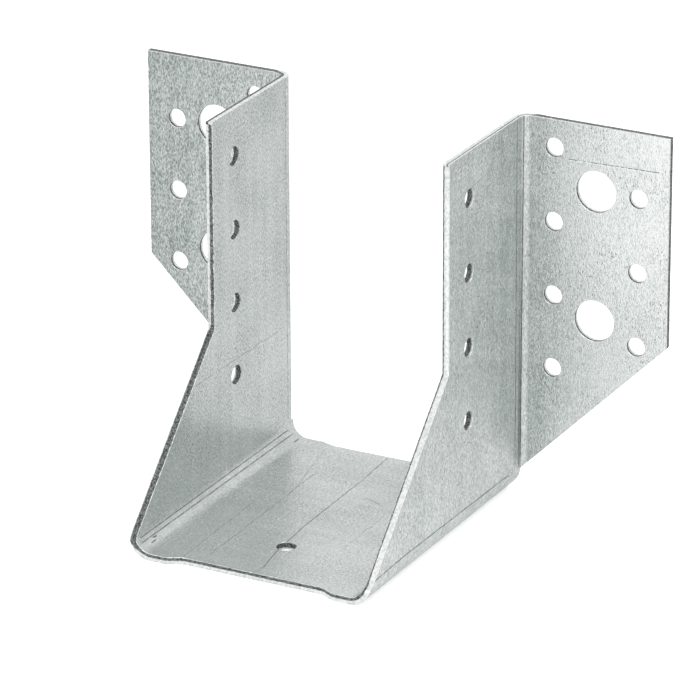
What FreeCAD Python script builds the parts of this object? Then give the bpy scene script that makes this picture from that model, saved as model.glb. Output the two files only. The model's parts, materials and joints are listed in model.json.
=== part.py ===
import FreeCAD, Part
import os
import Sketcher
from FreeCAD import Vector

# Joist hanger, folded from one blank of galvanised steel sheet.
# Millimetres. x runs across the joist, -y points along the joist, away from the header, and z is up.
# Every feature is drawn from the header's face, the middle of the joist's width and the underside of
# the seat. The body as a whole is then set back by half the depth of the seat, so that the part's
# origin lies under the middle of the seat.
doc = FreeCAD.newDocument("joist_hanger")

# Driving dimensions
dims = doc.addObject("Spreadsheet::Sheet", "dims")
driving = {
    "sheet_thickness": 2,
    # clear width between the side plates, and height from the underside of the seat
    "joist_width": 65,
    "overall_height": 103,
    # inside radii of the folds
    "seat_bend_radius": 4.5,
    "flange_bend_radius": 2,
    # seat: its front and back corners, from the header's face, and its nail hole
    "seat_depth": 86,
    "seat_setback": 2,
    "seat_hole_size": 5,
    "seat_hole_setback": 66,
    # the middle of the seat's front and back edges stands back from the corners
    "front_edge_step": 2,
    "back_edge_step": 1.25,
    "edge_step_run": 3.5,
    "edge_corner_width": 9,
    "edge_round": 4,
    # side plates: narrow on top, then slanting forward to the front of the seat
    "plate_depth": 43.5,
    "slant_top": 47,
    "slant_foot": 4.5,
    "slant_round": 2,
    # flanges: width beyond the side plate, and height of the lower outer corner, from which the edge
    # falls at 45 degrees towards the fold
    "flange_width": 40.5,
    "flange_corner": 46.5,
    "flange_corner_round": 1,
    # nail holes, with the drop of the first of each row below the top edge
    "nail_hole_size": 5,
    "nail_pitch": 20,
    "joist_nail_count": 4,
    "joist_nail_setback": 32.5,
    "joist_nail_drop": 12.5,
    "inner_nail_count": 4,
    "inner_nail_offset": 8.5,
    "inner_nail_drop": 7.5,
    "outer_nail_count": 3,
    "outer_nail_offset": 32,
    "outer_nail_drop": 17.5,
    # bolt holes, midway between the two rows of flange nails
    "bolt_hole_size": 11,
    "bolt_pitch": 35,
    "bolt_count": 2,
    # how far a cut runs past the sheet
    "cut_margin": 10,
}

# Places worked out from the driving dimensions
places = doc.addObject("Spreadsheet::Sheet", "places")
worked_out = {
    "plate_inside": "dims.joist_width / 2",
    "plate_outside": "plate_inside + dims.sheet_thickness",
    "seat_bend_height": "dims.seat_bend_radius + dims.sheet_thickness",
    "seat_flat_half": "plate_inside - dims.seat_bend_radius",
    "flange_bend_outer": "dims.flange_bend_radius + dims.sheet_thickness",
    "flange_flat_start": "plate_outside + dims.flange_bend_radius",
    "flange_edge": "plate_outside + dims.flange_width",
    "flange_length": "dims.overall_height - seat_bend_height",
    "flange_foot": "dims.flange_corner - dims.flange_width",
    "past_top": "dims.overall_height + dims.cut_margin",
    "past_front": "dims.seat_depth + dims.cut_margin",
    "far_front": "past_front + dims.cut_margin",
    "past_flange": "flange_edge + dims.cut_margin",
    "far_flange": "past_flange + dims.cut_margin",
    "step_outside": "plate_inside - dims.edge_corner_width",
    "step_inside": "step_outside - dims.edge_step_run",
    "front_middle": "dims.seat_depth - dims.front_edge_step",
    "back_middle": "dims.seat_setback + dims.back_edge_step",
    "joist_nail_top": "dims.overall_height - dims.joist_nail_drop",
    "inner_nail_place": "plate_outside + dims.inner_nail_offset",
    "inner_nail_top": "dims.overall_height - dims.inner_nail_drop",
    "outer_nail_place": "plate_outside + dims.outer_nail_offset",
    "outer_nail_top": "dims.overall_height - dims.outer_nail_drop",
    "bolt_place": "(inner_nail_place + outer_nail_place) / 2",
}


def fill_sheet(sheet, entries, prefix):
    """One row for each name: the name beside the cell that carries it as an alias."""
    for row, (name, content) in enumerate(entries.items(), start=1):
        sheet.set(f"A{row}", name)
        sheet.set(f"B{row}", f"{prefix}{content}")
        sheet.setAlias(f"B{row}", name)


fill_sheet(dims, driving, "")
doc.recompute()
fill_sheet(places, worked_out, "=")
doc.recompute()

body = doc.addObject("PartDesign::Body", "hanger")
body.Label = "hanger"
body.setExpression("Placement.Base.y", "dims.seat_depth / 2")


def origin_feature(role):
    """A plane or axis of the body's own origin."""
    return next(feature for feature in body.Origin.OriginFeatures if feature.Role == role)


def expression(name):
    """The sheet's cell that a name stands for, as an expression. A leading minus sign is kept."""
    plain = name.lstrip("-")
    sheet = dims if dims.getCellFromAlias(plain) else places
    return name.replace(plain, f"{sheet.Name}.{plain}")


def number(name):
    """The present value of a name. "0" lies on the axis."""
    if name == "0":
        return 0.0
    plain = name.lstrip("-")
    sheet = dims if dims.getCellFromAlias(plain) else places
    size = float(getattr(sheet, plain))
    return -size if name.startswith("-") else size


def bind(sketch, constraint, name):
    """Add a dimensional constraint and tie it to its cell."""
    index = sketch.addConstraint(constraint)
    sketch.setExpression(f"Constraints[{index}]", expression(name))


def fix_point(sketch, geometry, point, x_name, y_name):
    """Hold one point of a sketch at its named x and y, or on an axis."""
    horizontal_axis, vertical_axis = -1, -2
    if x_name == "0":
        sketch.addConstraint(Sketcher.Constraint("PointOnObject", geometry, point, vertical_axis))
    else:
        bind(sketch, Sketcher.Constraint("DistanceX", -1, 1, geometry, point, number(x_name)), x_name)
    if y_name == "0":
        sketch.addConstraint(Sketcher.Constraint("PointOnObject", geometry, point, horizontal_axis))
    else:
        bind(sketch, Sketcher.Constraint("DistanceY", -1, 1, geometry, point, number(y_name)), y_name)


def new_sketch(name, plane):
    """A sketch on one of the body's own origin planes."""
    sketch = body.newObject("Sketcher::SketchObject", name)
    sketch.AttachmentSupport = [(origin_feature(plane), "")]
    sketch.MapMode = "FlatFace"
    return sketch


def round_corner(sketch, geometry, radius_name):
    """Round the corner where an edge starts. The sharp corner stays as the point that is held."""
    sketch.fillet(geometry, 1, number(radius_name), True, True)
    arcs = [k for k, item in enumerate(sketch.Geometry) if item.TypeId == "Part::GeomArcOfCircle"]
    bind(sketch, Sketcher.Constraint("Radius", arcs[-1], number(radius_name)), radius_name)


def draw_outline(sketch, corners):
    """A closed outline. Each corner is (x, y) by name, with a third name where it is rounded."""
    first = sketch.GeometryCount
    points = [Vector(number(corner[0]), number(corner[1]), 0) for corner in corners]
    for start, end in zip(points, points[1:] + points[:1]):
        sketch.addGeometry(Part.LineSegment(start, end), False)
    for k, corner in enumerate(corners):
        edge_before = first + (k - 1) % len(corners)
        sketch.addConstraint(Sketcher.Constraint("Coincident", edge_before, 2, first + k, 1))
        fix_point(sketch, first + k, 1, corner[0], corner[1])
    for k, corner in enumerate(corners):
        if len(corner) == 3:
            round_corner(sketch, first + k, corner[2])


def draw_circle(sketch, x_name, y_name, diameter_name):
    """A hole's circle at a named place."""
    centre = Vector(number(x_name), number(y_name), 0)
    circle = sketch.addGeometry(Part.Circle(centre, Vector(0, 0, 1), number(diameter_name) / 2), False)
    fix_point(sketch, circle, 3, x_name, y_name)
    bind(sketch, Sketcher.Constraint("Diameter", circle, number(diameter_name)), diameter_name)


def pad(name, sketch, length_name, reverse=False):
    """Pad a sketch by a named length along its normal, or against it."""
    feature = body.newObject("PartDesign::Pad", name)
    feature.Profile = sketch
    feature.Type = "Length"
    feature.setExpression("Length", expression(length_name))
    feature.Reversed = reverse
    doc.recompute()
    return feature


def pocket(name, sketch, depth_name=None, reverse=False):
    """Cut a sketch through everything on both sides, or to a named depth on one side."""
    before = body.Shape.Volume
    feature = body.newObject("PartDesign::Pocket", name)
    feature.Profile = sketch
    if depth_name:
        feature.Type = "Length"
        feature.setExpression("Length", expression(depth_name))
        feature.Reversed = reverse
    else:
        feature.Type = "ThroughAll"
        feature.SideType = "Symmetric"
    doc.recompute()
    if body.Shape.Volume >= before:
        raise RuntimeError(f"{name} removed nothing")
    return feature


def repeat_down(name, feature, sketch, pitch_name, count_name):
    """Repeat a hole downwards at a named pitch."""
    pattern = body.newObject("PartDesign::LinearPattern", name)
    pattern.Originals = [feature]
    pattern.Direction = (sketch, ["V_Axis"])
    pattern.Reversed = True
    pattern.Mode = "Spacing"
    pattern.setExpression("Offset", expression(pitch_name))
    pattern.setExpression("Occurrences", expression(count_name))
    body.Tip = pattern
    doc.recompute()
    return pattern


def hole_row(name, plane, x_name, y_name, diameter_name, pitch_name, count_name):
    """A vertical row of punched holes, from its top hole down."""
    sketch = new_sketch(f"{name}_sketch", plane)
    draw_circle(sketch, x_name, y_name, diameter_name)
    doc.recompute()
    top_hole = pocket(f"{name}_top_hole", sketch)
    repeat_down(f"{name}_row", top_hole, sketch, pitch_name, count_name)


# Right half of the channel: half the seat, its fold and the lower part of the side plate
channel_section = new_sketch("channel_section", "XZ_Plane")
draw_outline(channel_section, [
    ("0", "0"),
    ("plate_outside", "0", "seat_bend_height"),
    ("plate_outside", "slant_top"),
    ("plate_inside", "slant_top"),
    ("plate_inside", "sheet_thickness", "seat_bend_radius"),
    ("0", "sheet_thickness"),
])
doc.recompute()
pad("channel", channel_section, "past_front")

# Front and back edges of the seat: the middle stands back a little from the corners
front_edge = new_sketch("front_edge", "XY_Plane")
draw_outline(front_edge, [
    ("0", "-far_front"),
    ("past_flange", "-far_front"),
    ("past_flange", "-seat_depth"),
    ("step_outside", "-seat_depth", "edge_round"),
    ("step_inside", "-front_middle", "edge_round"),
    ("0", "-front_middle"),
])
doc.recompute()
pocket("front_edge_cut", front_edge)

back_edge = new_sketch("back_edge", "XY_Plane")
draw_outline(back_edge, [
    ("0", "cut_margin"),
    ("past_flange", "cut_margin"),
    ("past_flange", "-seat_setback"),
    ("step_outside", "-seat_setback", "edge_round"),
    ("step_inside", "-back_middle", "edge_round"),
    ("0", "-back_middle"),
])
doc.recompute()
pocket("back_edge_cut", back_edge)

# Above the seat's fold the side plate ends where the flange's fold begins
plate_back = new_sketch("plate_back", "YZ_Plane")
draw_outline(plate_back, [
    ("-flange_bend_outer", "seat_bend_height"),
    ("cut_margin", "seat_bend_height"),
    ("cut_margin", "past_top"),
    ("-flange_bend_outer", "past_top"),
])
doc.recompute()
pocket("plate_back_cut", plate_back)

# Side plate and flange with the fold between them, seen from above, from the seat's fold to the top
plate_and_flange = new_sketch("plate_and_flange", "XY_Plane")
plate_and_flange.setExpression("AttachmentOffset.Base.z", expression("seat_bend_height"))
draw_outline(plate_and_flange, [
    ("plate_inside", "-plate_depth"),
    ("plate_inside", "0", "flange_bend_outer"),
    ("past_flange", "0"),
    ("past_flange", "-sheet_thickness"),
    ("plate_outside", "-sheet_thickness", "flange_bend_radius"),
    ("plate_outside", "-plate_depth"),
])
doc.recompute()
pad("flange", plate_and_flange, "flange_length")

# Outer and lower edges of the flange: the lower one falls towards the fold
flange_edges = new_sketch("flange_edges", "XZ_Plane")
draw_outline(flange_edges, [
    ("plate_outside", "0"),
    ("far_flange", "0"),
    ("far_flange", "past_top"),
    ("flange_edge", "past_top"),
    ("flange_edge", "flange_corner", "flange_corner_round"),
    ("plate_outside", "flange_foot"),
])
doc.recompute()
pocket("flange_edges_cut", flange_edges, "flange_bend_outer", reverse=True)

# Front edge of the side plate: upright, then slanting forward to the front of the seat
plate_front = new_sketch("plate_front", "YZ_Plane")
draw_outline(plate_front, [
    ("-past_front", "past_top"),
    ("-plate_depth", "past_top"),
    ("-plate_depth", "slant_top", "slant_round"),
    ("-seat_depth", "slant_foot"),
    ("-past_front", "slant_foot"),
])
doc.recompute()
pocket("plate_front_cut", plate_front)

# Punched holes of the flange and of the side plate
hole_row("inner_nails", "XZ_Plane", "inner_nail_place", "inner_nail_top",
         "nail_hole_size", "nail_pitch", "inner_nail_count")
hole_row("outer_nails", "XZ_Plane", "outer_nail_place", "outer_nail_top",
         "nail_hole_size", "nail_pitch", "outer_nail_count")
hole_row("bolts", "XZ_Plane", "bolt_place", "outer_nail_top",
         "bolt_hole_size", "bolt_pitch", "bolt_count")
hole_row("joist_nails", "YZ_Plane", "-joist_nail_setback", "joist_nail_top",
         "nail_hole_size", "nail_pitch", "joist_nail_count")

# The left half is the right half mirrored
both_halves = body.newObject("PartDesign::Mirrored", "both_halves")
both_halves.TransformMode = "Whole shape"
both_halves.MirrorPlane = (origin_feature("YZ_Plane"), [""])
body.Tip = both_halves
doc.recompute()

# Nail hole in the seat, on the joist's centre line
seat_hole = new_sketch("seat_hole", "XY_Plane")
draw_circle(seat_hole, "0", "-seat_hole_setback", "seat_hole_size")
doc.recompute()
pocket("seat_hole_cut", seat_hole)

doc.recompute()
for item in doc.Objects:
    if "Invalid" in item.State or "Error" in item.State:
        raise RuntimeError(f"{item.Label} failed: {item.State}")
if body.Shape.isNull() or not body.Shape.isValid() or len(body.Shape.Solids) != 1:
    raise RuntimeError("the hanger is not one valid solid")

os.makedirs("parts", exist_ok=True)
body.Shape.exportStep(f"parts/{body.Label}.step")
box = body.Shape.BoundBox
print(f"{body.Label}: {box.XLength:.2f} x {box.YLength:.2f} x {box.ZLength:.2f} mm, "
      f"{body.Shape.Volume / 1000:.2f} cm3, {len(body.Shape.Faces)} faces")
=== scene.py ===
# %% [markdown]
# A joist hanger is the steel shoe that carries the end of a floor joist. It is punched and folded
# from one galvanised sheet: a seat below, a side plate on each side of the joist, and a flange on
# each side that is nailed or bolted to the header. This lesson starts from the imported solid, which
# is the fixed frame, and gives it the look of the real thing: sheared edges, fold marks and rolled
# zinc.

# %% Load the frame
import json
from math import atan2, cos, hypot, pi, radians, sin
import bpy
from mathutils import Matrix, Vector, noise


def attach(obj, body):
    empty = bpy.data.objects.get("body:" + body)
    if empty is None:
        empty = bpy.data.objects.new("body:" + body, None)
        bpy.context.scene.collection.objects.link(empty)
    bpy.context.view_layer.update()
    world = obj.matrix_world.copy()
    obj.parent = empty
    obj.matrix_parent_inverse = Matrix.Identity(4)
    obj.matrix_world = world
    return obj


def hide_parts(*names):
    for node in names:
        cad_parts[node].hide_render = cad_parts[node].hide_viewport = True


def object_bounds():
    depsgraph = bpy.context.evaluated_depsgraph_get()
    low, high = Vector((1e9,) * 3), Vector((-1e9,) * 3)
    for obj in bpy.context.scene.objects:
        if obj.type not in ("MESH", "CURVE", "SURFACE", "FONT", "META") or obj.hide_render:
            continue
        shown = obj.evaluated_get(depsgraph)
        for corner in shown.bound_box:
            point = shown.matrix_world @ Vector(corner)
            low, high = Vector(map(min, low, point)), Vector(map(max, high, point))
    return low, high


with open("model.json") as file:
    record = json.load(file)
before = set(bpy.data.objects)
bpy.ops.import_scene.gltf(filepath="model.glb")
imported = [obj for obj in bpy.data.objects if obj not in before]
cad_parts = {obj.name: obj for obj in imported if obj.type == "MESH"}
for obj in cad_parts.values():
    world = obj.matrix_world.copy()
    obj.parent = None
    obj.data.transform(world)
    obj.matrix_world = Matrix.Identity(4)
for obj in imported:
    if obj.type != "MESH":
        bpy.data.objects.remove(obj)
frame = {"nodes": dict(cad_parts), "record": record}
cad_low, cad_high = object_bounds()
print("solid from", [round(c, 4) for c in cad_low], "to", [round(c, 4) for c in cad_high])

# %% [markdown]
# The camera comes first, because every look is judged through it. The photograph was taken with a
# long lens, from the right, in front and a little above, so its edges hardly converge. A short lens
# close by would splay them. The camera is turned about the point that it aims at, which lies in the
# header's plane, and then moved back from it.

# %% Camera
camera_azimuth = radians(27.885)
camera_elevation = radians(22.017)
camera_roll = radians(-0.214)
camera_distance = 1.415
camera_lens = 278.64
camera_reach = 20
aim_across = -0.01523
aim_up = 0.02993
header_plane = cad_high.y

turn = (Matrix.Rotation(camera_azimuth, 4, "Z")
        @ Matrix.Rotation(pi / 2 - camera_elevation, 4, "X")
        @ Matrix.Rotation(camera_roll, 4, "Z"))
aim = turn @ Vector((aim_across, aim_up, 0)) + Vector((0, header_plane, 0))
bpy.ops.object.camera_add()
camera = bpy.context.object
camera.name = "photo_camera"
camera.matrix_world = Matrix.Translation(aim) @ turn @ Matrix.Translation((0, 0, camera_distance))
camera.data.lens = camera_lens
camera.data.clip_end = camera_reach
bpy.context.scene.camera = camera
print("camera at", [round(c, 3) for c in camera.matrix_world.translation])

# %% [markdown]
# Bare steel shows what stands round it more than its own colour, so the studio is a pale floor in a
# white surround. Both should look white, to the camera and in the steel's reflections, but more
# light on the hanger would burn it out. So they are bright only for rays that come from the camera
# or from a glossy surface, and a helper tells those rays from the rest.

# %% Helpers for materials
def new_material(name):
    """An empty node material, as (material, nodes, links, output node)."""
    material = bpy.data.materials.new(name)
    material.use_nodes = True
    tree = material.node_tree
    tree.nodes.clear()
    return material, tree.nodes, tree.links, tree.nodes.new("ShaderNodeOutputMaterial")


def bright_rays(nodes, links):
    """1 for rays from the camera and for rays that mirror or pass through a surface, else 0."""
    rays = nodes.new("ShaderNodeLightPath")
    either = rays.outputs["Is Camera Ray"]
    for name in ("Is Glossy Ray", "Is Transmission Ray"):
        joined = nodes.new("ShaderNodeMath")
        joined.operation = "MAXIMUM"
        links.new(either, joined.inputs[0])
        links.new(rays.outputs[name], joined.inputs[1])
        either = joined.outputs[0]
    return either


print("material helpers ready")

# %% [markdown]
# The floor is a sheet of pale paper. Its diffuse part takes the hanger's shadow. A glow is added to
# it for the bright rays, and a stronger one for the camera alone, which leaves the shadow faint.

# %% Floor
floor_size = 6
paper_white = 0.93
paper_lift = 0.22
seen_lift = 0.35

bpy.ops.mesh.primitive_plane_add(size=floor_size, location=(0, 0, 0))
floor = bpy.context.object
floor.name = "studio_floor"
paper, nodes, links, output = new_material("pale_paper")
paper_shader = nodes.new("ShaderNodeBsdfDiffuse")
paper_shader.inputs["Color"].default_value = (paper_white, paper_white, paper_white, 1)
lift = nodes.new("ShaderNodeEmission")
mirror_lift = nodes.new("ShaderNodeMath")
mirror_lift.operation = "MULTIPLY"
links.new(bright_rays(nodes, links), mirror_lift.inputs[0])
mirror_lift.inputs[1].default_value = paper_lift
rays = nodes.new("ShaderNodeLightPath")
total_lift = nodes.new("ShaderNodeMath")
total_lift.operation = "MULTIPLY_ADD"
links.new(rays.outputs["Is Camera Ray"], total_lift.inputs[0])
total_lift.inputs[1].default_value = seen_lift
links.new(mirror_lift.outputs[0], total_lift.inputs[2])
links.new(total_lift.outputs[0], lift.inputs["Strength"])
both = nodes.new("ShaderNodeAddShader")
links.new(paper_shader.outputs["BSDF"], both.inputs[0])
links.new(lift.outputs["Emission"], both.inputs[1])
links.new(both.outputs["Shader"], output.inputs["Surface"])
floor.data.materials.append(paper)
print("floor laid,", floor_size, "m wide")

# %% [markdown]
# Two soft lamps shape the folds. One hangs high on the right. The other stands low in front, square
# to the flanges, and makes them brighter than the side plates. A lamp could be placed by hand, but
# one that is given by its direction from the hanger always faces it.

# %% Lamps
lamp_distance = 1.6
lamp_size = 1.0


def soft_lamp(name, azimuth, elevation, watts):
    """A square area lamp that faces the middle of the hanger."""
    middle = (cad_low + cad_high) / 2
    out = Vector((sin(azimuth) * cos(elevation), -cos(azimuth) * cos(elevation), sin(elevation)))
    bpy.ops.object.light_add(type="AREA", location=middle + out * lamp_distance)
    lamp = bpy.context.object
    lamp.name = name
    lamp.rotation_euler = out.to_track_quat("Z", "Y").to_euler()
    lamp.data.size = lamp_size
    lamp.data.energy = watts
    print(name, "at", [round(c, 2) for c in lamp.location])


soft_lamp("key_lamp", azimuth=radians(95), elevation=radians(72), watts=8.5)
soft_lamp("front_lamp", azimuth=radians(0), elevation=radians(14), watts=5.5)

# %% [markdown]
# The surround is the world. It is white to the bright rays and dimmer as a light. A picture of a
# studio would give livelier reflections, but plain white suits any object. The Standard view shows
# each colour about as it is written.

# %% Surround and view
surround_light = 0.62
surround_seen = 1.0

world = bpy.data.worlds.new("white_studio")
bpy.context.scene.world = world
world.use_nodes = True
nodes, links = world.node_tree.nodes, world.node_tree.links
surround = nodes["Background"]
surround.inputs["Color"].default_value = (1, 1, 1, 1)
level = nodes.new("ShaderNodeMapRange")
level.inputs["To Min"].default_value = surround_light
level.inputs["To Max"].default_value = surround_seen
links.new(bright_rays(nodes, links), level.inputs["Value"])
links.new(level.outputs["Result"], surround.inputs["Strength"])
bpy.context.scene.view_settings.view_transform = "Standard"
print("surround lights at", surround_light, "and looks", surround_seen)

# %% [markdown]
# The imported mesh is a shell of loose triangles, and it is left alone. The finished hanger is a copy
# of it. Its doubles are merged and its flat faces joined and divided again into better triangles,
# because edges can only be broken and roughened on a mesh that hangs together.

# %% Copy and merge the sheet
hair = 1e-6
flat_angle = radians(0.5)


def only(piece, mode="OBJECT"):
    """Make one piece the only selected and active one, in the given mode."""
    if bpy.context.object and bpy.context.object.mode != "OBJECT":
        bpy.ops.object.mode_set(mode="OBJECT")
    bpy.ops.object.select_all(action="DESELECT")
    piece.select_set(True)
    bpy.context.view_layer.objects.active = piece
    bpy.ops.object.mode_set(mode=mode)


node = frame["nodes"]["hanger"]
hanger = bpy.data.objects.new("folded_hanger", node.data.copy())
bpy.context.collection.objects.link(hanger)
hanger.data.materials.clear()
only(hanger, "EDIT")
bpy.ops.mesh.select_all(action="SELECT")
bpy.ops.mesh.remove_doubles(threshold=hair)
bpy.ops.mesh.dissolve_limited(angle_limit=flat_angle)
bpy.ops.mesh.quads_convert_to_tris(quad_method="BEAUTY", ngon_method="BEAUTY")
bpy.ops.object.mode_set(mode="OBJECT")
print("merged sheet:", len(hanger.data.vertices), "points,", len(hanger.data.polygons), "faces")

# %% [markdown]
# Rolling grain, scratches and fold marks belong to the flat blank and went round the folds with it.
# A pattern on the hanger's own coordinates would be cut off at each fold. So each point is traced
# back to its place on the blank: across the joist, along the joist, and through the thickness of
# the sheet, in millimetres. A fold takes the length of an arc at the middle of the sheet.

# %% Trace the hanger back to its blank
mm = 1000
mounts = {mount["name"]: mount for mount in frame["record"]["mounts"]}
sheet = mounts["joist_seat"]["pos_m"][2]
clear_width = 0.065
seat_fold = 0.0045
flange_fold = 0.002
plate_inside = clear_width / 2
plate_outside = plate_inside + sheet
seat_fold_x, seat_fold_z = plate_inside - seat_fold, seat_fold + sheet
flange_fold_x = plate_outside + flange_fold
flange_fold_y = header_plane - sheet - flange_fold
seat_middle = seat_fold + sheet / 2
flange_middle = flange_fold + sheet / 2
seat_arc = seat_middle * pi / 2
flange_arc = flange_middle * pi / 2


def on_blank(point):
    """Place on the blank in mm: across, along, and depth from the joist's side of the sheet."""
    x, y, z = abs(point.x), point.y, point.z
    across, along = x, y
    if z < seat_fold_z and x > seat_fold_x:
        away_x, away_z = x - seat_fold_x, seat_fold_z - z
        across = seat_fold_x + seat_middle * atan2(away_x, away_z)
        depth = hypot(away_x, away_z) - seat_fold
    elif y > flange_fold_y and z >= seat_fold_z and x >= plate_inside:
        across = seat_fold_x + seat_arc + z - seat_fold_z
        if x > flange_fold_x:
            along = flange_fold_y + flange_arc + x - flange_fold_x
            depth = header_plane - y
        else:
            away_x, away_y = flange_fold_x - x, y - flange_fold_y
            along = flange_fold_y + flange_middle * atan2(away_y, away_x)
            depth = flange_fold + sheet - hypot(away_x, away_y)
    elif x >= plate_inside - hair:
        across = seat_fold_x + seat_arc + z - seat_fold_z
        depth = x - plate_inside
    else:
        depth = sheet - z
    side = -1 if point.x < 0 else 1
    return Vector((side * across, along, depth)) * mm


thickness = sheet * mm
far = on_blank(cad_high)
print("blank reaches", round(far.x, 1), "mm across and", round(far.y, 1), "mm along")

# %% [markdown]
# The blank was sheared and punched, so its edges are not machined. To work on them, the cut faces
# are found first, as the ones that run through the thickness. They could be picked by their place,
# but sorted into rings that hang together, they tell a hole from the outline by their reach.

# %% Find the cut faces
SHEET_FACE, EDGE_FACE, HOLE_FACE = 0, 1, 2
widest_hole = 13


def cut_rings():
    """The cut faces, sorted into rings that hang together through their corners."""
    mesh = hanger.data
    depths = [on_blank(vertex.co).z for vertex in mesh.vertices]
    ring_of = {}
    for polygon in mesh.polygons:
        through = [depths[index] for index in polygon.vertices]
        if max(through) - min(through) > thickness / 2:
            merged = {"faces": [polygon.index], "corners": set(polygon.vertices)}
            touched = {id(ring_of[i]): ring_of[i] for i in polygon.vertices if i in ring_of}
            for ring in touched.values():
                merged["faces"] += ring["faces"]
                merged["corners"] |= ring["corners"]
            for index in merged["corners"]:
                ring_of[index] = merged
    return list({id(ring): ring for ring in ring_of.values()}.values())


def span(ring):
    """The widest reach of a ring over the blank, in mm."""
    places = [on_blank(hanger.data.vertices[index].co) for index in ring["corners"]]
    return max(max(place[k] for place in places) - min(place[k] for place in places)
               for k in (0, 1))


rings = cut_rings()
for polygon in hanger.data.polygons:
    polygon.material_index = SHEET_FACE
for ring in rings:
    kind = HOLE_FACE if span(ring) < widest_hole else EDGE_FACE
    for index in ring["faces"]:
        hanger.data.polygons[index].material_index = kind
print("cut rings:", len(rings), "of which holes:", sum(span(ring) < widest_hole for ring in rings))

# %% [markdown]
# A rim is the line where a cut face meets the sheet's surface. The long straight ones are halved
# until no step is over a millimetre, so that they can waver. Dividing the whole mesh would do it as
# well, at the cost of many faces on flats that need none.

# %% Divide their rims
rim_step = 0.0009


def select_rims(kinds, longer_than=0.0):
    """Select the edges between the sheet's surface and cut faces of the given kinds."""
    mesh = hanger.data
    beside = [set() for _ in mesh.edges]
    for polygon in mesh.polygons:
        for loop in polygon.loop_indices:
            beside[mesh.loops[loop].edge_index].add(polygon.material_index)
    for element in (mesh.vertices, mesh.edges, mesh.polygons):
        element.foreach_set("select", [False] * len(element))
    count = 0
    for edge, faces in zip(mesh.edges, beside):
        start, end = (mesh.vertices[index].co for index in edge.vertices)
        rim = len(faces) == 2 and SHEET_FACE in faces and faces & kinds
        edge.select = bool(rim) and (start - end).length > longer_than
        count += edge.select
    return count


bpy.context.tool_settings.mesh_select_mode = (False, True, False)
while select_rims({EDGE_FACE, HOLE_FACE}, longer_than=rim_step):
    only(hanger, "EDIT")
    bpy.ops.mesh.subdivide(number_cuts=1)
    bpy.ops.object.mode_set(mode="OBJECT")
print("rims divided:", select_rims({EDGE_FACE, HOLE_FACE}), "edges")

# %% [markdown]
# A sheared edge wavers by a few hundredths of a millimetre. Bump in a material would leave its
# outline ruler-straight, so its faces are pushed in by a noise that is read on the blank, in long
# waves and short ones.

# %% Waver the edges
rim_waver = 0.00007
wave_lift = 0.4
long_waves, short_waves, short_share = 1.3, 3.1, 0.6

inward = [Vector() for _ in hanger.data.vertices]
for polygon in hanger.data.polygons:
    if polygon.material_index == EDGE_FACE:
        for index in polygon.vertices:
            inward[index] -= polygon.normal
for vertex, push in zip(hanger.data.vertices, inward):
    if push.length > 0:
        place = on_blank(vertex.co)
        rough = noise.noise(place * long_waves) + short_share * noise.noise(place * short_waves)
        vertex.co += push.normalized() * rim_waver * max(0, wave_lift + rough)
print("edge points pushed in:", sum(push.length > 0 for push in inward))

# %% [markdown]
# Shears and punches also roll the rims over. A bevel breaks them, wider at the holes than along the
# edges, without sliding along the flats' own lines, so that its width stays even. No blade adds
# steel, so no point may end up outside the box of the solid.

# %% Break the rims
edge_break = 0.00016
hole_break = 0.0003
break_steps = 3

for kind, size in ((EDGE_FACE, edge_break), (HOLE_FACE, hole_break)):
    select_rims({kind})
    only(hanger, "EDIT")
    bpy.ops.mesh.bevel(offset=size, segments=break_steps, affect="EDGES", loop_slide=False,
                       material=kind)
    bpy.ops.object.mode_set(mode="OBJECT")
for vertex in hanger.data.vertices:
    vertex.co = [min(max(c, low), high) for c, low, high in zip(vertex.co, cad_low, cad_high)]
print("broken rims:", len(hanger.data.polygons), "faces")

# %% [markdown]
# A bevel leaves a few points of the rims a hair off the sheet's surface. The place on the blank
# shows it, because their depth is not quite 0 or the whole thickness. They are put back along the
# sheet's own normal, which is the way that the depth grows.

# %% Put the rims back on the sheet
furthest_off = 0.05


def sheet_normal(point):
    """The way that the depth grows at a point of the sheet."""
    rise = [on_blank(point + axis * hair).z - on_blank(point - axis * hair).z
            for axis in (Vector((1, 0, 0)), Vector((0, 1, 0)), Vector((0, 0, 1)))]
    return Vector(rise).normalized()


def skin_points():
    """The points that the sheet's two surfaces use."""
    skins = (face for face in hanger.data.polygons if face.material_index == SHEET_FACE)
    return {index for face in skins for index in face.vertices}


moved = 0
for index in skin_points():
    vertex = hanger.data.vertices[index]
    depth = on_blank(vertex.co).z
    off = depth - thickness * round(depth / thickness)
    if 0 < abs(off) < furthest_off:
        vertex.co -= sheet_normal(vertex.co) * off / mm
        moved += 1
print("points put back:", moved)

# %% [markdown]
# The flats' triangles are long and thin, and some that only touch a hole fold over when its rim is
# pulled back. Evening them out one by one is slow and never quite done. So every flat is opened and
# filled again, one at a time, between its rims and its folds.

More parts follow.
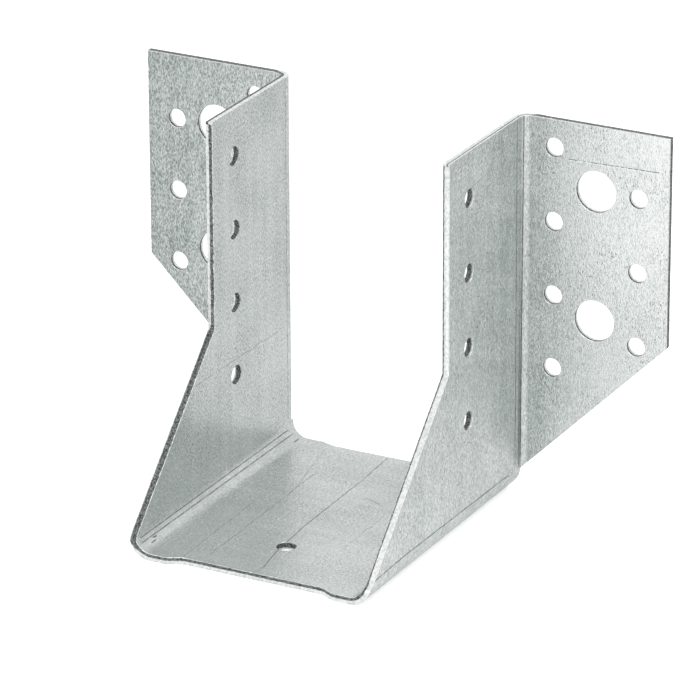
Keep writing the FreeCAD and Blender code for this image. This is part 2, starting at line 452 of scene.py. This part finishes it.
# %% Fill the flats again
X, Y, Z = 0, 1, 2
flats = [(Z, sheet, 0), (Z, 0.0, 0)]
for side in (-1, 1):
    flats += [(X, side * plate_inside, side), (X, side * plate_outside, side)]
    flats += [(Y, header_plane, side), (Y, header_plane - sheet, side)]
for axis, place, side in flats:
    mesh = hanger.data
    for element in (mesh.vertices, mesh.edges, mesh.polygons):
        element.foreach_set("select", [False] * len(element))
    for polygon in mesh.polygons:
        points = [mesh.vertices[index].co for index in polygon.vertices]
        on_flat = all(abs(point[axis] - place) < hair for point in points)
        is_skin = polygon.material_index == SHEET_FACE
        polygon.select = is_skin and on_flat and points[0].x * side >= 0
    bpy.context.tool_settings.mesh_select_mode = (False, False, True)
    only(hanger, "EDIT")
    bpy.ops.mesh.delete(type="FACE")
    bpy.ops.mesh.select_mode(type="EDGE")
    bpy.ops.mesh.select_all(action="DESELECT")
    bpy.ops.mesh.select_non_manifold(extend=False, use_wire=False, use_multi_face=False,
                                     use_non_contiguous=False, use_verts=False)
    bpy.ops.mesh.fill(use_beauty=True)
    bpy.ops.object.mode_set(mode="OBJECT")
only(hanger, "EDIT")
bpy.ops.mesh.select_all(action="SELECT")
bpy.ops.mesh.normals_make_consistent(inside=False)
bpy.ops.object.mode_set(mode="OBJECT")
print("flats filled again:", len(flats), "giving", len(hanger.data.polygons), "faces")

# %% [markdown]
# Rolled sheet is flat between its folds, and a fold is a clean arc. Shading that is averaged from
# the faces would bend over the flats near every hole. So the corners that lie on the sheet's two
# surfaces get the sheet's own normal, and only the broken rims keep the averaged one.

# %% Keep the flats flat and the folds round
smooth_angle = radians(40)
same_way = cos(radians(25))

mesh = hanger.data
skin_normals = {index: sheet_normal(mesh.vertices[index].co) for index in skin_points()}
only(hanger)
bpy.ops.object.shade_smooth_by_angle(angle=smooth_angle)
corners = [corner.vector.copy() for corner in mesh.corner_normals]
true_corners = 0
for polygon in mesh.polygons:
    for loop in polygon.loop_indices:
        normal = skin_normals.get(mesh.loops[loop].vertex_index)
        if normal and abs(normal.dot(polygon.normal)) > same_way:
            corners[loop] = normal if normal.dot(polygon.normal) > 0 else -normal
            true_corners += 1
mesh.normals_split_custom_set(corners)
print("corners with the sheet's own normal:", true_corners, "of", len(corners))

# %% [markdown]
# The materials need the place on the blank at every point. A UV map has only two numbers, and the
# depth would be lost, so it is kept as an attribute of three.

# %% Keep the place on the blank
traced = hanger.data.attributes.new("blank_mm", "FLOAT_VECTOR", "POINT")
places = [c for vertex in hanger.data.vertices for c in on_blank(vertex.co)]
traced.data.foreach_set("vector", places)
print("points traced to the blank:", len(traced.data))

# %% [markdown]
# Galvanised sheet is steel under a skin of zinc. The skin is pale grey with a breath of green, matt
# where it froze and smoother where the rolls pressed it. Its grain, its marks and the torn steel of
# its cuts are built as node groups, which can be placed many times, each time with other values.
# Nodes are long to write one by one, so a small class adds and joins them.

# %% Helpers for node groups
class Graph:
    """Short ways to add and join nodes in one tree."""

    def __init__(self, tree):
        self.tree = tree

    def add(self, kind, settings=None, **sockets):
        """Add a node, set its properties, and fill or link its sockets by name."""
        made = self.tree.nodes.new(kind)
        for name, value in (settings or {}).items():
            setattr(made, name, value)
        for name, value in sockets.items():
            self.feed(made.inputs[name.replace("_", " ")], value)
        return made

    def feed(self, socket, value):
        """Link a socket to another one, or give it a value of its own."""
        if isinstance(value, bpy.types.NodeSocket):
            self.tree.links.new(value, socket)
        else:
            socket.default_value = value

    def worked(self, kind, operation, values):
        """Add a node that works something out from its first inputs."""
        made = self.add(kind, {"operation": operation})
        for socket, value in zip(made.inputs, values):
            self.feed(socket, value)
        return made

    def math(self, operation, *values):
        """Work out a number."""
        return self.worked("ShaderNodeMath", operation, values).outputs[0]

    def vector(self, operation, *values):
        """Work out a vector, or its length or dot product."""
        made = self.worked("ShaderNodeVectorMath", operation, values)
        return made.outputs["Value" if operation in ("LENGTH", "DOT_PRODUCT") else "Vector"]

    def step(self, value, low, high, to_low=0.0, to_high=1.0):
        """A smooth step from to_low to to_high as value goes from low to high."""
        made = self.add("ShaderNodeMapRange", {"interpolation_type": "SMOOTHSTEP"}, Value=value,
                        From_Min=low, From_Max=high, To_Min=to_low, To_Max=to_high)
        return made.outputs["Result"]

    def noise(self, place, scale, detail=2.0, rough=0.5, shift=(0, 0, 0)):
        """A noise from 0 to 1, whose pattern may be shifted."""
        shifted = self.vector("ADD", place, shift)
        made = self.add("ShaderNodeTexNoise", Vector=shifted, Scale=scale, Detail=detail,
                        Roughness=rough)
        return made.outputs["Fac"]

    def round_zero(self, noise):
        """A noise from 0 to 1, moved down to lie round 0."""
        return self.math("SUBTRACT", noise, 0.5)

    def mix(self, factor, first, second):
        """Mix two colours."""
        made = self.add("ShaderNodeMix", {"data_type": "RGBA"})
        for place, value in ((0, factor), (6, first), (7, second)):
            self.feed(made.inputs[place], value)
        return made.outputs[2]


def new_group(name, inputs, outputs):
    """An empty shader node group, as (group, graph, input sockets by name, output node)."""
    group = bpy.data.node_groups.new(name, "ShaderNodeTree")
    for label, kind, value in inputs:
        socket = group.interface.new_socket(label, in_out="INPUT", socket_type=kind)
        if value is not None:
            socket.default_value = value
    for label, kind in outputs:
        group.interface.new_socket(label, in_out="OUTPUT", socket_type=kind)
    graph = Graph(group)
    entry = group.nodes.new("NodeGroupInput")
    leave = group.nodes.new("NodeGroupOutput")
    return group, graph, {socket.name: socket for socket in entry.outputs}, leave


FLOAT, VECTOR, COLOUR = "NodeSocketFloat", "NodeSocketVector", "NodeSocketColor"
print("node helpers ready")

# %% [markdown]
# Rolled grain: up close the zinc is a fine speckle, drawn out a little across the blank by the
# rolls. Wider strokes and soft clouds lie under it, where the zinc froze at different rates. One
# group gives all this as a tone round 0. Its noises need no picture and never repeat, and they are
# drawn out by squeezing the place that they are read at.

# %% Rolled grain group: the tone
stroke_stretch, long_stretch = 7.0, 22.0

grain_group, graph, given, leave = new_group(
    "rolled_grain",
    [("Blank", VECTOR, None), ("Stretch", FLOAT, 2.0), ("Speckle", FLOAT, 1.0),
     ("Strokes", FLOAT, 0.5), ("Clouds", FLOAT, 0.4)],
    [("Tone", FLOAT), ("Height", FLOAT), ("Pits", FLOAT), ("Painted Highlights", FLOAT)],
)
apart = graph.add("ShaderNodeSeparateXYZ", Vector=given["Blank"])


def drawn_out(stretch):
    """The place on the blank, squeezed across it, so that a noise on it is drawn out that way."""
    squeezed = graph.math("DIVIDE", apart.outputs["X"], stretch)
    made = graph.add("ShaderNodeCombineXYZ", X=squeezed, Y=apart.outputs["Y"], Z=apart.outputs["Z"])
    return made.outputs[0]


speck_place = drawn_out(given["Stretch"])
stroke_place = drawn_out(stroke_stretch)
specks = graph.noise(speck_place, scale=3.8, detail=1.5, rough=0.55)
strokes = graph.noise(stroke_place, scale=1.1, detail=3.0, rough=0.55, shift=(7, 3, 0))
long_strokes = graph.noise(drawn_out(long_stretch), scale=0.4, shift=(2, 61, 4))
clouds = graph.noise(given["Blank"], scale=0.055, detail=3.0, rough=0.55, shift=(40, 12, 5))
tone = graph.math("MULTIPLY", graph.round_zero(specks), given["Speckle"])
broad = graph.math("ADD", graph.round_zero(strokes), graph.round_zero(long_strokes))
tone = graph.math("ADD", tone, graph.math("MULTIPLY", broad, given["Strokes"]))
tone = graph.math("ADD", tone, graph.math("MULTIPLY", graph.round_zero(clouds), given["Clouds"]))
graph.feed(leave.inputs["Tone"], tone)
print("rolled grain's tone:", len(grain_group.nodes), "nodes")

# %% [markdown]
# Small pits and painted highlights, bright glints put into the colour, are scattered over the zinc.
# They could be painted one by one, but the peaks of two more noises give thousands at once. The pits
# come in patches, so another noise lowers the level from which they count.

# %% Rolled grain group: pits and painted glints
patch_low, patch_high = 0.40, 0.62
pit_peak, pit_patch = 0.68, 0.10
pit_edge = 0.05
pit_depth = 0.8
painted_glint_low, painted_glint_high = 0.66, 0.74

pit_noise = graph.noise(speck_place, scale=3.1, rough=0.7, shift=(19, 31, 0))
patch_noise = graph.noise(given["Blank"], scale=0.07, shift=(3, 70, 9))
patches = graph.step(patch_noise, patch_low, patch_high)
pit_level = graph.math("SUBTRACT", pit_peak, graph.math("MULTIPLY", patches, pit_patch))
pits = graph.step(graph.math("SUBTRACT", pit_noise, pit_level), 0.0, pit_edge)
# painted highlights: pale glint spots that go into the colour
painted_glint_noise = graph.noise(speck_place, scale=2.2, detail=1.0, rough=0.6, shift=(90, 14, 3))
painted_glints = graph.step(painted_glint_noise, painted_glint_low, painted_glint_high)
graph.feed(leave.inputs["Pits"], pits)
graph.feed(leave.inputs["Painted Highlights"], painted_glints)
height = graph.math("SUBTRACT", specks, graph.math("MULTIPLY", pits, pit_depth))
graph.feed(leave.inputs["Height"], height)
print("rolled grain group:", len(grain_group.nodes), "nodes")

# %% [markdown]
# A mark is a line between two places on the blank, such as a scratch or the line that the folding
# bar pressed into the sheet. Its group measures how far a point lies from that line, and lets a
# noise break it up, as a real scratch skips over low spots. As the blank has a depth, a mark on one
# side of the sheet doesn't show on the other. Grooves in the mesh would need far finer faces.

# %% Mark group
full_within, gone_beyond = 0.25, 0.75
skip_below, touch_above = 0.36, 0.56

mark_group, graph, given, leave = new_group(
    "mark",
    [("Blank", VECTOR, None), ("From", VECTOR, None), ("To", VECTOR, None), ("Width", FLOAT, 0.3),
     ("Broken", FLOAT, 0.5), ("Strength", FLOAT, 1.0)],
    [("Mask", FLOAT)],
)
reach = graph.vector("SUBTRACT", given["Blank"], given["From"])
run = graph.vector("SUBTRACT", given["To"], given["From"])
share = graph.math("DIVIDE", graph.vector("DOT_PRODUCT", reach, run),
                   graph.vector("DOT_PRODUCT", run, run))
share_kept = graph.add("ShaderNodeClamp", Value=share).outputs[0]
scaled = graph.add("ShaderNodeVectorMath", {"operation": "SCALE"}, Vector=run, Scale=share_kept)
away = graph.vector("LENGTH", graph.vector("SUBTRACT", reach, scaled.outputs["Vector"]))
widths_away = graph.math("DIVIDE", away, given["Width"])
line = graph.step(widths_away, full_within, gone_beyond, 1.0, 0.0)
heights = graph.noise(given["Blank"], scale=0.7, shift=(5, 9, 2))
touches = graph.step(heights, skip_below, touch_above)
gap = graph.math("MULTIPLY", given["Broken"], graph.math("SUBTRACT", 1.0, touches))
unbroken = graph.math("MULTIPLY", given["Strength"], graph.math("SUBTRACT", 1.0, gap))
graph.feed(leave.inputs["Mask"], graph.math("MULTIPLY", line, unbroken))
print("mark group:", len(mark_group.nodes), "nodes")

# %% [markdown]
# The scratches: the seat has long ones from the stack that the hangers were shipped in, and the
# plates and a flange have a few short ones. Each is written as its two ends, across, along and
# through the blank, then its width in millimetres, how broken it is, and its strength.

# %% Scratches on the blank
INNER, OUTER = 0.0, thickness
dark_marks = [
    # long scratch through the nail hole of the seat
    ((0.1, -42.6, INNER), (0.8, -36.2, INNER), 0.8, 0.9, 0.5),
    ((0.8, -36.2, INNER), (-0.5, -28.6, INNER), 0.35, 0.4, 0.8),
    ((-0.5, -28.6, INNER), (-2.0, -10.0, INNER), 0.30, 0.3, 0.9),
    ((-2.0, -10.0, INNER), (-2.4, 21.7, INNER), 0.30, 0.3, 0.9),
    ((-2.4, 21.7, INNER), (-3.3, 38.5, INNER), 0.35, 0.6, 0.8),
    # fainter ones beside it
    ((-20.1, -41.0, INNER), (-21.0, 0.4, INNER), 0.25, 0.7, 0.6),
    ((-14.7, -36.0, INNER), (-15.5, 20.8, INNER), 0.25, 0.7, 0.6),
    ((-15.0, 7.8, INNER), (-20.8, 37.5, INNER), 0.22, 0.7, 0.5),
    ((4.5, 12.9, INNER), (9.8, 10.5, INNER), 0.7, 0.8, 0.4),
    ((13.5, -20.0, INNER), (12.6, 31.0, INNER), 0.22, 0.8, 0.4),
    # short nicks at the ends of the seat's left fold
    ((-31.2, -38.0, INNER), (-31.2, -36.1, INNER), 0.40, 0.2, 1.0),
    ((-32.3, -36.2, INNER), (-32.1, -34.8, INNER), 0.45, 0.2, 1.0),
    ((-30.2, 36.4, INNER), (-30.2, 38.7, INNER), 0.40, 0.2, 1.0),
    # side plates and right flange
    ((-65.3, -13.9, INNER), (-64.7, 36.3, INNER), 0.20, 0.6, 0.5),
    ((123.0, 10.5, OUTER), (123.6, 16.5, OUTER), 0.22, 0.3, 0.5),
    ((123.6, 16.5, OUTER), (124.6, 22.8, OUTER), 0.22, 0.3, 0.5),
    ((123.2, 54.3, OUTER), (123.7, 79.2, OUTER), 0.30, 0.7, 0.8),
]
print("scratches:", len(dark_marks))

# %% [markdown]
# The folding bar leaves thin lines beside each fold, on both sides of the sheet. They are written
# in the same way for the right half of the blank, and a loop gives them to the left half as well.

# %% Fold lines on the blank
blank_top = far.x
fold_lines = []
for side in (-1, 1):
    fold_lines += [
        # beside the seat's fold
        ((side * 34.4, -40.7, INNER), (side * 34.6, 37.5, INNER), 0.35, 0.5, 0.9),
        ((side * 32.9, -41.2, INNER), (side * 32.7, 38.7, INNER), 0.35, 0.4, 0.9),
        ((side * 36.9, -41.5, OUTER), (side * 37.4, -25.0, OUTER), 0.35, 0.3, 1.0),
        ((side * 37.4, -25.0, OUTER), (side * 36.7, 34.0, OUTER), 0.35, 0.3, 1.0),
        # beside the flange's fold
        ((side * 37.5, 37.6, OUTER), (side * blank_top, 37.2, OUTER), 0.42, 0.5, 0.8),
        ((side * 39.5, 40.6, OUTER), (side * blank_top, 40.9, OUTER), 0.42, 0.3, 1.0),
        ((side * 38.0, 38.2, INNER), (side * blank_top, 38.0, INNER), 0.28, 0.6, 0.7),
        ((side * 38.0, 40.0, INNER), (side * blank_top, 40.2, INNER), 0.25, 0.6, 0.6),
    ]
print("fold lines:", len(fold_lines))

# %% [markdown]
# The zinc skin starts with masks: where the folds, the plates and the flanges lie on the blank, and
# where the marks are. The hanger could be split into pieces with a material each, but the zinc runs
# on round the folds, and masks on the blank let it.

# %% Zinc skin: where things are
seat_bend_low = seat_fold_x * mm
seat_bend_high = seat_bend_low + 8.6
plate_range = (seat_bend_low + 8, seat_bend_low + 10)
flange_bend_low, flange_bend_high = 38.6, 43.8
flange_range = (42, 47)
seat_bend_share = 0.35


def all_marks(graph, blank, marks):
    """The strongest of several marks."""
    strongest = 0.0
    for start, end, width, broken, strength in marks:
        made = graph.add("ShaderNodeGroup", {"node_tree": mark_group}, Blank=blank, From=start,
                         To=end, Width=width, Broken=broken, Strength=strength)
        strongest = graph.math("MAXIMUM", strongest, made.outputs["Mask"])
    return strongest


def between(graph, value, low, high, soft):
    """A mask that is 1 from low to high and fades out on both sides."""
    rising = graph.step(value, low - soft, low)
    falling = graph.step(value, high, high + soft, 1.0, 0.0)
    return graph.math("MULTIPLY", rising, falling)


zinc, nodes, links, output = new_material("zinc_skin")
graph = Graph(zinc.node_tree)
blank = graph.add("ShaderNodeAttribute", {"attribute_name": "blank_mm"}).outputs["Vector"]
apart = graph.add("ShaderNodeSeparateXYZ", Vector=blank)
sideways, along = apart.outputs["X"], apart.outputs["Y"]
across = graph.math("ABSOLUTE", sideways)
on_flange = graph.step(along, *flange_range)
on_plate = graph.step(across, *plate_range)
seat_bend = between(graph, across, seat_bend_low, seat_bend_high, soft=1.5)
flange_bend = between(graph, along, flange_bend_low, flange_bend_high, soft=0.8)
flange_bend = graph.math("MULTIPLY", flange_bend, on_plate)
bends = graph.math("MAXIMUM", graph.math("MULTIPLY", seat_bend, seat_bend_share), flange_bend)
lines = graph.math("MAXIMUM", all_marks(graph, blank, dark_marks),
                   all_marks(graph, blank, fold_lines))
print("zinc skin's masks:", len(nodes), "nodes")

# %% [markdown]
# This is painted light and shade, not the zinc's own colour. The colour is made paler towards the
# right end of the blank, most of all on the right flange, a little paler in the middle of the seat,
# and darker on the left flange and the right plate. Lamps alone can't give that without wrong
# shadows, so it is a slow change of tone over ranges of the blank, in millimetres.

# %% Zinc skin: painted light and shade over the blank
painted_lean = 0.075
right_flange_painted_light, left_flange_painted_shade = 0.36, 0.14
seat_painted_light, right_plate_painted_shade = 0.04, 0.10
middle_range = (-40, 40)
painted_light_range, painted_shade_range, seat_range = (41, 62), (52, 76), (38, 85)
plate_across, plate_along = (40, 70), (30, 42)

painted_leaning = graph.math("MULTIPLY", sideways, painted_lean / blank_top)
right_half = graph.step(sideways, *middle_range)
left_half = graph.math("SUBTRACT", 1.0, right_half)
painted_light_tone = graph.step(along, *painted_light_range, 0, right_flange_painted_light)
painted_light_tone = graph.math("MULTIPLY", right_half, painted_light_tone)
painted_shade_tone = graph.step(along, *painted_shade_range, 0, left_flange_painted_shade)
painted_shade_tone = graph.math("MULTIPLY", left_half, painted_shade_tone)
seat_painted_light_tone = graph.step(across, *seat_range, seat_painted_light, 0.0)
plate_painted_shade_tone = graph.math("MULTIPLY", graph.step(sideways, *plate_across),
                        graph.step(along, *plate_along, right_plate_painted_shade, 0.0))
# broad sums the painted light and shade over the blank
broad = graph.math("ADD", painted_leaning, graph.math("SUBTRACT", painted_light_tone, painted_shade_tone))
broad = graph.math("ADD", broad, graph.math("SUBTRACT", seat_painted_light_tone, plate_painted_shade_tone))
print("zinc skin's tone:", len(nodes), "nodes")

# %% [markdown]
# The colour goes from a deep to a pale grey with the grain's tone and the painted light and shade.
# Over it come the pits, dark and strongest on the flanges, the painted glints, pale highlights put
# into the colour and most of all on the folds, where the stretched zinc sparkles, and last the
# marks, darkest. Mixed in this order, no painted glint covers a mark.

# %% Zinc skin: colour
deep_zinc, pale_zinc = (0.205, 0.25, 0.235, 1), (0.905, 0.93, 0.92, 1)
pit_colour, pit_on_plate, pit_on_flange = (0.13, 0.15, 0.145, 1), 0.45, 0.75
painted_glint_colour, painted_glint_level = (0.93, 0.95, 0.94, 1), 0.35
line_colour, line_level = (0.10, 0.115, 0.11, 1), 0.85
middle_shade = 0.5
speckle_on_plate, speckle_on_flange = 1.6, 1.8

speckle = graph.step(on_flange, 0, 1, speckle_on_plate, speckle_on_flange)
grain = graph.add("ShaderNodeGroup", {"node_tree": grain_group}, Blank=blank, Stretch=2.8,
                  Speckle=speckle, Strokes=0.22, Clouds=0.3)
# the painted light and shade (broad) joins the grain's tone in the colour
shade = graph.math("ADD", graph.math("ADD", middle_shade, grain.outputs["Tone"]), broad)
colour = graph.mix(shade, deep_zinc, pale_zinc)
dent = graph.step(on_flange, 0, 1, pit_on_plate, pit_on_flange)
colour = graph.mix(graph.math("MULTIPLY", grain.outputs["Pits"], dent), colour, pit_colour)
# painted highlights: pale glints mixed into the colour, strongest on the folds
painted_sparkle = graph.math("MULTIPLY", grain.outputs["Painted Highlights"], graph.math("ADD", painted_glint_level, bends))
colour = graph.mix(painted_sparkle, colour, painted_glint_colour)
colour = graph.mix(graph.math("MULTIPLY", lines, line_level), colour, line_colour)
print("zinc skin's colour:", len(nodes), "nodes")

# %% [markdown]
# The zinc is part metal, part grey film. It is smooth enough for soft reflections of the other
# plates, and the pale spots are the smoother ones. A light bump lets the grain and the marks catch
# the lamps at a low angle.

# %% Zinc skin: gloss and bump
metal_share = 0.65
rough_dark, rough_pale = 0.30, 0.14
line_depth = 1.5
bump_distance = 0.0002

height = graph.math("SUBTRACT", grain.outputs["Height"], graph.math("MULTIPLY", lines, line_depth))
bump = graph.add("ShaderNodeBump", Height=height, Strength=0.4, Distance=bump_distance)
skin = graph.add("ShaderNodeBsdfPrincipled", Base_Color=colour, Metallic=metal_share,
                 Roughness=graph.step(grain.outputs["Tone"], -0.4, 0.4, rough_dark, rough_pale),
                 Normal=bump.outputs["Normal"])
links.new(skin.outputs["BSDF"], output.inputs["Surface"])
hanger.data.materials.append(zinc)
print("zinc skin:", len(nodes), "nodes")

# %% [markdown]
# A sheared edge has two bands. On the side that the blade entered, the steel is cut smooth and
# bright. On the other it tore, and is dark and rough, with a ragged border. The walls of the
# punched holes are torn too, so one group serves both, and each gives it the depths of its tear.

# %% Torn steel group
smooth_dull, smooth_bright = (0.62, 0.66, 0.64, 1), (0.88, 0.90, 0.89, 1)
torn_dark, torn_grey = (0.03, 0.037, 0.035, 1), (0.30, 0.33, 0.32, 1)
smear_range, crumb_range = (0.30, 0.62), (0.40, 0.64)
border_in, border_out = 0.06, 0.12

torn_group, graph, given, leave = new_group(
    "torn_steel",
    [("Blank", VECTOR, None), ("From", FLOAT, 0.15), ("To", FLOAT, 1.0), ("Ragged", FLOAT, 0.5)],
    [("Torn", FLOAT), ("Colour", COLOUR), ("Height", FLOAT)],
)
depth = graph.add("ShaderNodeSeparateXYZ", Vector=given["Blank"]).outputs["Z"]
ragged = graph.round_zero(graph.noise(given["Blank"], scale=1.2, detail=3.0, rough=0.65))
depth = graph.math("ADD", depth, graph.math("MULTIPLY", ragged, given["Ragged"]))
past_start = graph.math("SUBTRACT", depth, given["From"])
past_end = graph.math("SUBTRACT", depth, given["To"])
torn = graph.math("MULTIPLY", graph.step(past_start, -border_in, border_in),
                  graph.step(past_end, -border_out, border_out, 1.0, 0.0))
crumbs = graph.noise(given["Blank"], scale=2.8, rough=0.7, shift=(11, 5, 7))
smears = graph.noise(given["Blank"], scale=1.3, rough=0.6, shift=(1, 8, 2))
smooth = graph.mix(graph.step(smears, *smear_range), smooth_dull, smooth_bright)
dark = graph.mix(graph.step(crumbs, *crumb_range), torn_dark, torn_grey)
graph.feed(leave.inputs["Torn"], torn)
graph.feed(leave.inputs["Colour"], graph.mix(torn, smooth, dark))
graph.feed(leave.inputs["Height"], graph.math("MULTIPLY", crumbs, torn))
print("torn steel group:", len(torn_group.nodes), "nodes")

# %% [markdown]
# Two materials place that group, one for the sheared outline and one for the walls of the holes.
# They differ only in where the tear lies, so a helper makes both and is told the tear's start and
# end by a function of the place on the blank.

# %% Helper for cut steel
rough_smooth, rough_torn = 0.32, 0.6
bare_metal_share = 0.5
flange_starts = (43.0, 45.0)


def cut_material(name, tear, ragged):
    """Steel as a blade or punch left it. The tear's two depths are worked out by a function."""
    material, nodes, links, output = new_material(name)
    graph = Graph(material.node_tree)
    blank = graph.add("ShaderNodeAttribute", {"attribute_name": "blank_mm"}).outputs["Vector"]
    tear_from, tear_to = tear(graph, blank)
    steel = graph.add("ShaderNodeGroup", {"node_tree": torn_group}, Blank=blank, From=tear_from,
                      To=tear_to, Ragged=ragged)
    rough = graph.step(steel.outputs["Torn"], 0, 1, rough_smooth, rough_torn)
    bump = graph.add("ShaderNodeBump", Height=steel.outputs["Height"], Strength=0.6,
                     Distance=bump_distance)
    shader = graph.add("ShaderNodeBsdfPrincipled", Base_Color=steel.outputs["Colour"],
                       Metallic=bare_metal_share, Roughness=rough, Normal=bump.outputs["Normal"])
    links.new(shader.outputs["BSDF"], output.inputs["Surface"])
    hanger.data.materials.append(material)
    print(name, "has", len(nodes), "nodes")


print("cut steel helper ready")

# %% [markdown]
# How deep the edge tore depends on how the blades were set. On this blank the tear is deep on the
# slant at the left, middling on the seat and the flanges, and shallow on the right plate. Along the
# tops of the plates the blades cut smoothly past the middle of the sheet before it tore.

# %% Sheared edge
edge_ragged = 0.5
tear_start, tear_end = 0.17, 0.95
slant_more, flange_more, upright_more, right_less, top_more = 0.75, 0.6, 0.15, 0.45, 1.0
slant_low, slant_high, upright_range = -76.0, -34.0, (-80.0, -77.0)
right_range, top_range = (30.0, 42.0), (blank_top - 0.8, blank_top - 0.6)


def edge_tear(graph, blank):
    """The depths in mm at which the tear of the sheared outline starts and ends."""
    parts = graph.add("ShaderNodeSeparateXYZ", Vector=blank)
    place = parts.outputs["X"]
    flange = graph.step(parts.outputs["Y"], *flange_starts)
    off_flange = graph.math("SUBTRACT", 1.0, flange)
    slant = between(graph, place, slant_low, slant_high, soft=3.0)
    upright = graph.step(place, *upright_range, 1.0, 0.0)
    right = graph.math("MULTIPLY", graph.step(place, *right_range), off_flange)
    top = graph.step(graph.math("ABSOLUTE", place), *top_range)
    top = graph.math("MULTIPLY", top, off_flange)
    reach = graph.math("ADD", tear_end, graph.math("MULTIPLY", slant, slant_more))
    reach = graph.math("ADD", reach, graph.math("MULTIPLY", flange, flange_more))
    reach = graph.math("ADD", reach, graph.math("MULTIPLY", upright, upright_more))
    reach = graph.math("SUBTRACT", reach, graph.math("MULTIPLY", right, right_less))
    reach = graph.math("ADD", reach, graph.math("MULTIPLY", top, top_more))
    start = graph.math("ADD", tear_start, graph.math("MULTIPLY", top, top_more))
    return start, reach


cut_material("sheared_edge", edge_tear, edge_ragged)

# %% [markdown]
# A punch tears the wall of its hole too: from the rim inwards in the plates, but only in a thin
# band near the front of the flanges. In the plates the tear starts above the rim, so that its
# ragged border never shows there.

# %% Punched wall
wall_ragged = 0.6
plate_tear = (-0.30, 1.45)
flange_tear = (1.10, 1.76)


def hole_tear(graph, blank):
    """The depths in mm at which the tear in a hole's wall starts and ends."""
    along = graph.add("ShaderNodeSeparateXYZ", Vector=blank).outputs["Y"]
    flange = graph.step(along, *flange_starts)
    return [graph.step(flange, 0, 1, *depths) for depths in zip(plate_tear, flange_tear)]


cut_material("punched_wall", hole_tear, wall_ragged)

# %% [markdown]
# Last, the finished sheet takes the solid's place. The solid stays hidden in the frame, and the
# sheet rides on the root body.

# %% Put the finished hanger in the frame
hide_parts("hanger")
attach(hanger, "root")
